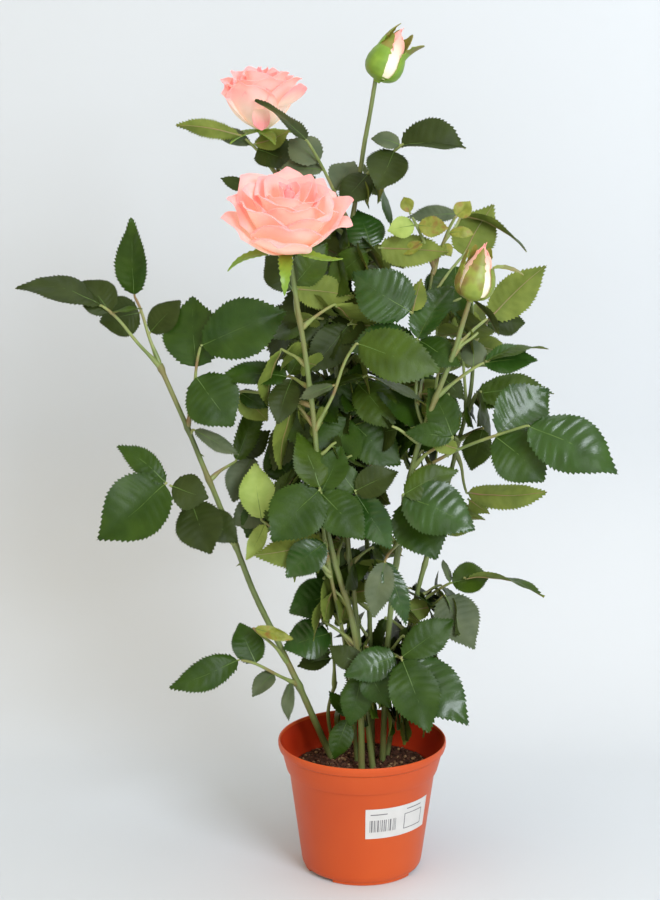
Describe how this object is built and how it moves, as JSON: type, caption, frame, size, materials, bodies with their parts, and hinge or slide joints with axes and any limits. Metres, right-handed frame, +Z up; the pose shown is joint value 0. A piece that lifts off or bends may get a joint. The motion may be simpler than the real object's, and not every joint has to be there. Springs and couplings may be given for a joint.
{
  "type": "artificial rose bush in a plastic nursery pot",
  "caption": "Upright artificial rose bush with long thin canes, compound leaves, pink blooms and buds, set in a filled round plastic nursery pot.",
  "frame": {"origin": "centre of the flat underside of the pot, on the pot's axis", "axes": "+Z up along the pot's axis, -Y towards the front with the large bloom, +X to the right seen from the front"},
  "size_m": [0.4255, 0.2471, 0.6439],
  "materials": {
    "pot_plastic": "smooth moulded terracotta-orange polypropylene with a slight sheen",
    "pot_filling": "set filling strewn with matte dark brown granules",
    "stem_plastic": "satin olive-green plastic over wire",
    "leaf_cloth": "coated polyester leaf, satin dark green, paler and matte beneath",
    "young_leaf_cloth": "coated polyester leaf, satin yellow-green",
    "petal_cloth": "matte polyester petals, salmon pink fading to cream",
    "bud_green": "satin moulded sepals over a small pink and cream bud"
  },
  "bodies": {
    "root": {"pot": "pot_plastic", "soil": "pot_filling", "bloom_back": "petal_cloth", "bloom_front": "petal_cloth", "bud_right": "bud_green", "bud_tall": "bud_green", "cane_back_rose": "stem_plastic", "cane_front_low": "stem_plastic", "cane_front_rose": "stem_plastic", "cane_left": "stem_plastic", "cane_right_back": "stem_plastic", "cane_right_bud": "stem_plastic", "cane_short_left": "stem_plastic", "cane_tall_bud": "stem_plastic", "foliage_back_low_left": "leaf_cloth", "foliage_back_low_right": "leaf_cloth", "foliage_back_middle": "leaf_cloth", "foliage_back_top": "leaf_cloth", "foliage_back_upper_left": "leaf_cloth", "foliage_back_upper_right": "leaf_cloth", "foliage_centre_front": "leaf_cloth", "foliage_centre_front_low": "leaf_cloth", "foliage_centre_front_right": "leaf_cloth", "foliage_heart_right": "leaf_cloth", "foliage_left_inner": "leaf_cloth", "foliage_left_low": "leaf_cloth", "foliage_left_middle": "leaf_cloth", "foliage_left_tip_far": "leaf_cloth", "foliage_left_tip_up": "leaf_cloth", "foliage_left_upper": "leaf_cloth", "foliage_low_front": "leaf_cloth", "foliage_low_inner": "leaf_cloth", "foliage_low_left": "leaf_cloth", "foliage_low_left_back": "leaf_cloth", "foliage_low_right": "leaf_cloth", "foliage_middle_left": "leaf_cloth", "foliage_middle_low": "leaf_cloth", "foliage_middle_right": "leaf_cloth", "foliage_middle_upper": "leaf_cloth", "foliage_pale_left": "leaf_cloth", "foliage_right_edge": "leaf_cloth", "foliage_right_far": "leaf_cloth", "foliage_right_front": "leaf_cloth", "foliage_right_low": "leaf_cloth", "foliage_right_lower": "leaf_cloth", "foliage_right_middle": "leaf_cloth", "foliage_right_middle_up": "leaf_cloth", "foliage_right_top": "leaf_cloth", "foliage_right_upper": "leaf_cloth", "foliage_rose_side": "leaf_cloth", "foliage_top_left": "leaf_cloth", "foliage_top_left_low": "leaf_cloth", "foliage_top_middle": "leaf_cloth", "foliage_top_right": "leaf_cloth", "foliage_under_rose": "leaf_cloth", "foliage_upper_front": "leaf_cloth", "foliage_upper_glossy": "leaf_cloth", "foliage_young_tip": "young_leaf_cloth", "shoot_young": "stem_plastic"}
  },
  "joints": []
}
